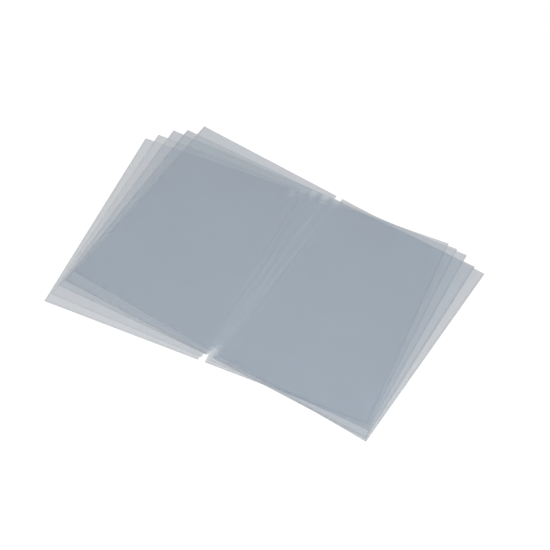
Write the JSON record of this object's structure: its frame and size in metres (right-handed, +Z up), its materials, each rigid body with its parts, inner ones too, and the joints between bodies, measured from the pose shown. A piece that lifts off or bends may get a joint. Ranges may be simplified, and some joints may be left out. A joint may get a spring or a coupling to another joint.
{
  "type": "sheet protector",
  "caption": "Fanned pile of clear double-page pocket leaves, each folding at a notched spine strip and open at the top to take sheets of paper.",
  "frame": {"origin": "middle of the box around the fan, on the surface it lies on", "axes": "+X across the middle leaf to its right page, +Y along its spine to the pocket mouths, +Z up out of the pile"},
  "size_m": [0.5284, 0.3634, 0.0021],
  "materials": {
    "clear_film": "thin clear film with a slight haze",
    "weld": "heat weld with fine cross ticks",
    "spine_film": "clear film with raised crease lines"
  },
  "bodies": {
    "leaf_1_right": {"leaf_1_spine_strip": "spine_film", "leaf_1_right_back_film": "clear_film", "leaf_1_right_welds": "weld", "leaf_1_right_front_film": "clear_film"},
    "leaf_1_left": {"leaf_1_left_back_film": "clear_film", "leaf_1_left_welds": "weld", "leaf_1_left_front_film": "clear_film"},
    "leaf_2_right": {"leaf_2_spine_strip": "spine_film", "leaf_2_right_back_film": "clear_film", "leaf_2_right_welds": "weld", "leaf_2_right_front_film": "clear_film"},
    "leaf_2_left": {"leaf_2_left_back_film": "clear_film", "leaf_2_left_welds": "weld", "leaf_2_left_front_film": "clear_film"},
    "leaf_3_right": {"leaf_3_spine_strip": "spine_film", "leaf_3_right_back_film": "clear_film", "leaf_3_right_welds": "weld", "leaf_3_right_front_film": "clear_film"},
    "leaf_3_left": {"leaf_3_left_back_film": "clear_film", "leaf_3_left_welds": "weld", "leaf_3_left_front_film": "clear_film"},
    "leaf_4_right": {"leaf_4_spine_strip": "spine_film", "leaf_4_right_back_film": "clear_film", "leaf_4_right_welds": "weld", "leaf_4_right_front_film": "clear_film"},
    "leaf_4_left": {"leaf_4_left_back_film": "clear_film", "leaf_4_left_welds": "weld", "leaf_4_left_front_film": "clear_film"},
    "leaf_5_right": {"leaf_5_spine_strip": "spine_film", "leaf_5_right_back_film": "clear_film", "leaf_5_right_welds": "weld", "leaf_5_right_front_film": "clear_film"},
    "leaf_5_left": {"leaf_5_left_back_film": "clear_film", "leaf_5_left_welds": "weld", "leaf_5_left_front_film": "clear_film"}
  },
  "joints": [
    {"name": "leaf_1_fold", "type": "hinge", "parent": "leaf_1_right", "child": "leaf_1_left", "pos_m": [-0.02603, -0.01083, 0.00028], "axis": [-0.0811, 0.9967, 0], "range_deg": [0, 150]},
    {"name": "leaf_2_fold", "type": "hinge", "parent": "leaf_2_right", "child": "leaf_2_left", "pos_m": [-0.0181, -0.00543, 0.00073], "axis": [-0.0436, 0.999, 0], "range_deg": [0, 150]},
    {"name": "leaf_2_swivel", "type": "hinge", "parent": "leaf_1_right", "child": "leaf_2_right", "pos_m": [-0.00493, -0.15801, 0.00045], "axis": [0, 0, -1], "range_deg": [-2.15, 12.85]},
    {"name": "leaf_3_fold", "type": "hinge", "parent": "leaf_3_right", "child": "leaf_3_left", "pos_m": [-0.00911, 0.0015, 0.00118], "axis": [0, 1, 0], "range_deg": [0, 150]},
    {"name": "leaf_3_swivel", "type": "hinge", "parent": "leaf_2_right", "child": "leaf_3_right", "pos_m": [-0.00261, -0.1515, 0.0009], "axis": [0, 0, -1], "range_deg": [-2.5, 12.5]},
    {"name": "leaf_4_fold", "type": "hinge", "parent": "leaf_4_right", "child": "leaf_4_left", "pos_m": [0.00097, 0.00084, 0.00163], "axis": [0.0488, 0.9988, 0], "range_deg": [0, 150]},
    {"name": "leaf_4_swivel", "type": "hinge", "parent": "leaf_3_right", "child": "leaf_4_right", "pos_m": [-0.00001, -0.1523, 0.00135], "axis": [0, 0, -1], "range_deg": [-2.8, 12.2]},
    {"name": "leaf_5_fold", "type": "hinge", "parent": "leaf_5_right", "child": "leaf_5_left", "pos_m": [0.01113, 0.00769, 0.00208], "axis": [0.0958, 0.9954, 0], "range_deg": [0, 150]},
    {"name": "leaf_5_swivel", "type": "hinge", "parent": "leaf_4_right", "child": "leaf_5_right", "pos_m": [0.00293, -0.14523, 0.0018], "axis": [0, 0, -1], "range_deg": [-2.7, 12.3]}
  ],
  "couplings": [
    {"joint": "leaf_2_fold", "follows": "leaf_1_fold", "ratio": 1},
    {"joint": "leaf_3_fold", "follows": "leaf_1_fold", "ratio": 1},
    {"joint": "leaf_4_fold", "follows": "leaf_1_fold", "ratio": 1},
    {"joint": "leaf_5_fold", "follows": "leaf_1_fold", "ratio": 1}
  ]
}
